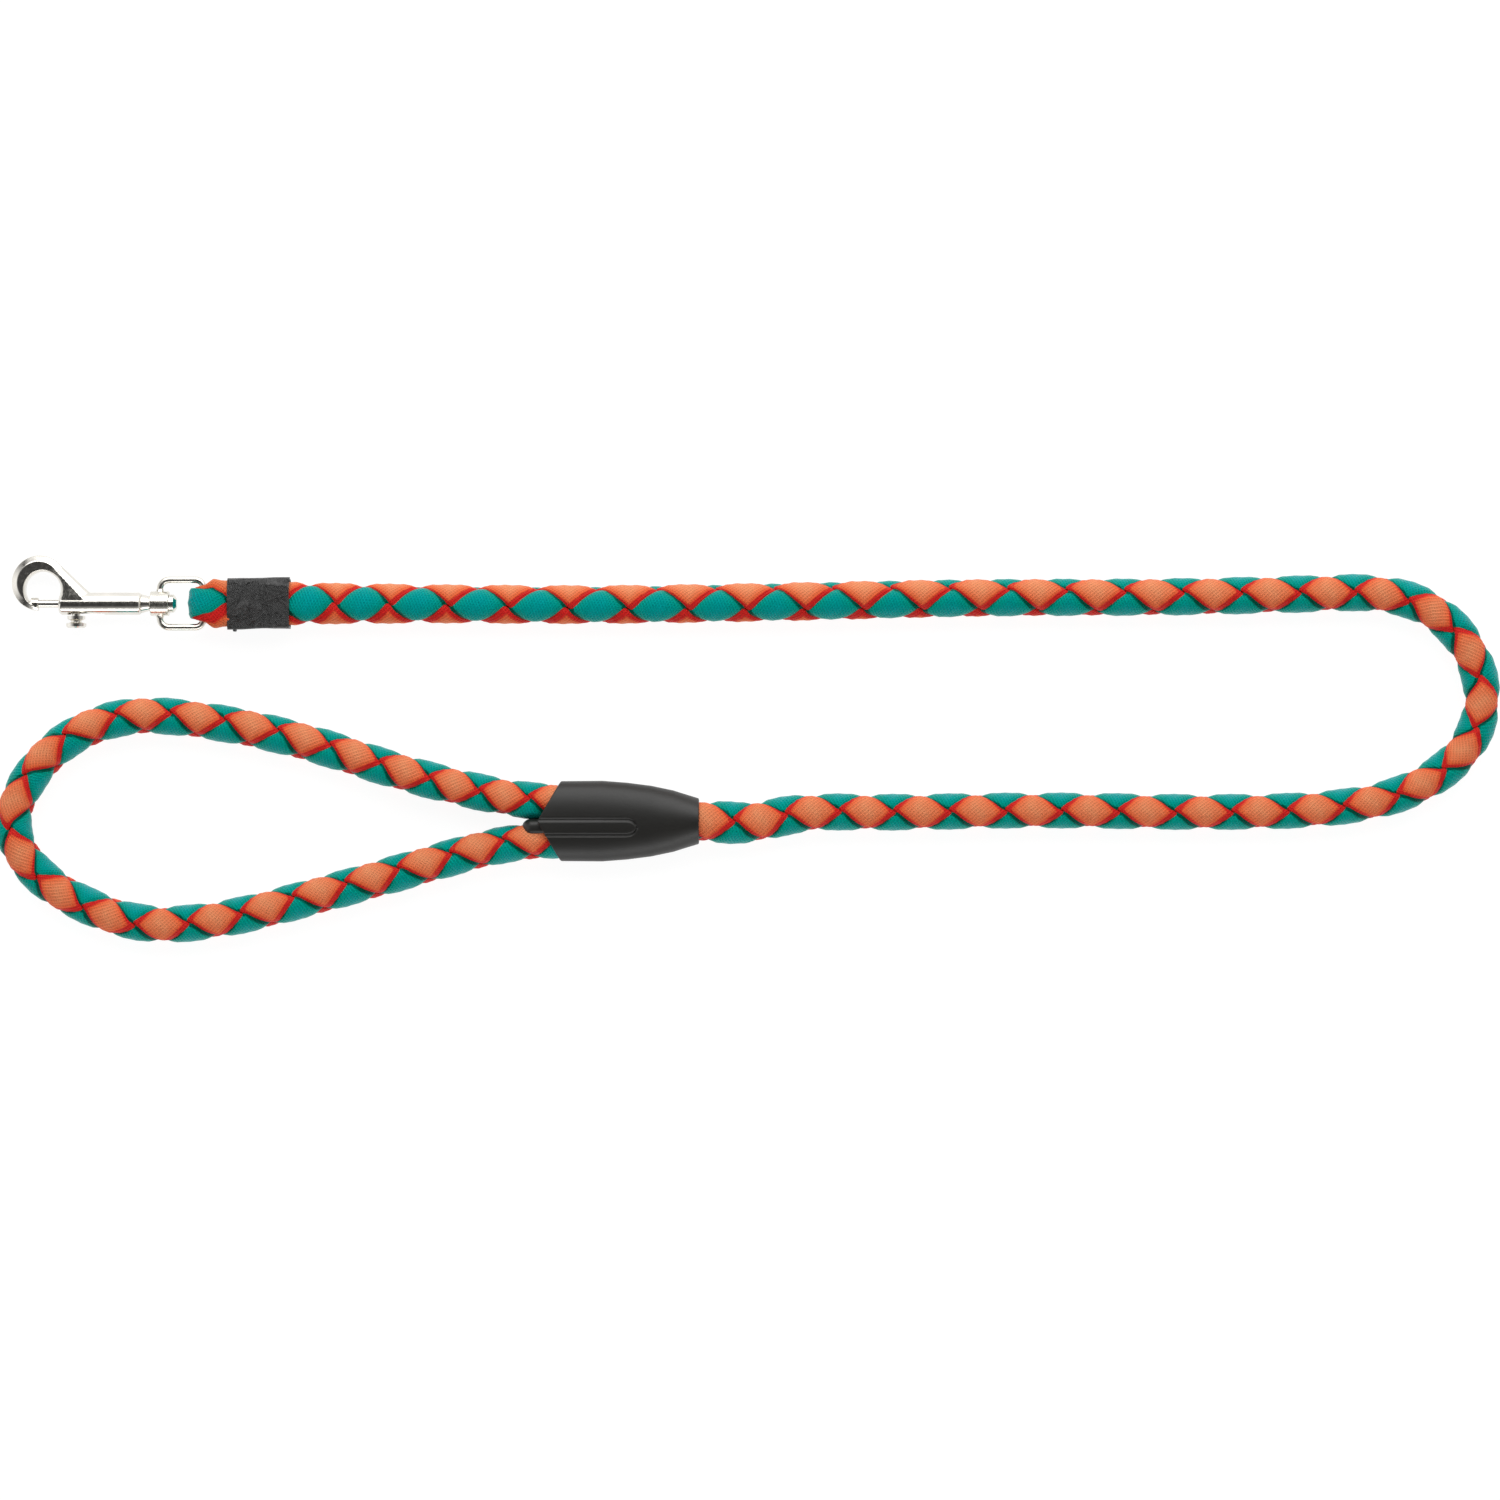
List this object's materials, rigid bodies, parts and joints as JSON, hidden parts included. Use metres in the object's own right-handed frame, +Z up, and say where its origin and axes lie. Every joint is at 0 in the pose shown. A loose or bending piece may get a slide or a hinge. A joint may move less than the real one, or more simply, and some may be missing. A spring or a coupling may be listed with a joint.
{
  "type": "lead rope",
  "caption": "Short braided rope lead laid in one flat bend, with a swivel bolt snap at one end and a hand loop in a moulded sleeve at the other.",
  "frame": {"origin": "on the floor under the middle of the lead's outline", "axes": "+X towards the lead's far bend, so the snap points to -X; +Y from the hand loop's side to the snap's side; +Z up"},
  "size_m": [0.4895, 0.1261, 0.0149],
  "materials": {
    "nickel": "bright nickel plate over die-cast zinc",
    "spring_steel": "drawn spring wire",
    "braid_orange": "plaited orange polypropylene tape",
    "braid_teal": "plaited teal polypropylene tape",
    "core_yarn": "loose filler yarn",
    "thread": "bonded sewing thread",
    "band_fabric": "black woven tape",
    "sleeve_plastic": "satin black moulded plastic"
  },
  "bodies": {
    "rope": {"rope_eye": "braid_teal", "eye_stitching": "thread", "label_band": "band_fabric", "lead_rope": "braid_orange", "lead_core": "core_yarn", "rope_join": "braid_teal", "join_stitching": "thread", "sleeve": "sleeve_plastic", "hand_loop": "braid_orange", "hand_loop_core": "core_yarn"},
    "loop": {"swivel_loop": "nickel"},
    "snap": {"hook_body": "nickel", "swivel_rivet": "nickel", "plunger_spring": "spring_steel"},
    "gate": {"plunger": "nickel", "thumb_stud": "nickel"}
  },
  "joints": [
    {"name": "loop_tilt", "type": "hinge", "parent": "rope", "child": "loop", "pos_m": [-0.177, 0.0475, 0.00585], "axis": [0, 1, 0], "range_deg": [-75, 75]},
    {"name": "swivel_spin", "type": "hinge", "parent": "loop", "child": "snap", "pos_m": [-0.191, 0.0475, 0.00519], "axis": [-0.9989, 0, -0.0468], "continuous": true},
    {"name": "gate_slide", "type": "slide", "parent": "snap", "child": "gate", "axis": [0.9989, 0, 0.0468], "range_m": [0, 0.0078], "stiffness_N_per_m": 600, "springref_m": -0.002, "deforming": ["plunger_spring"]}
  ]
}
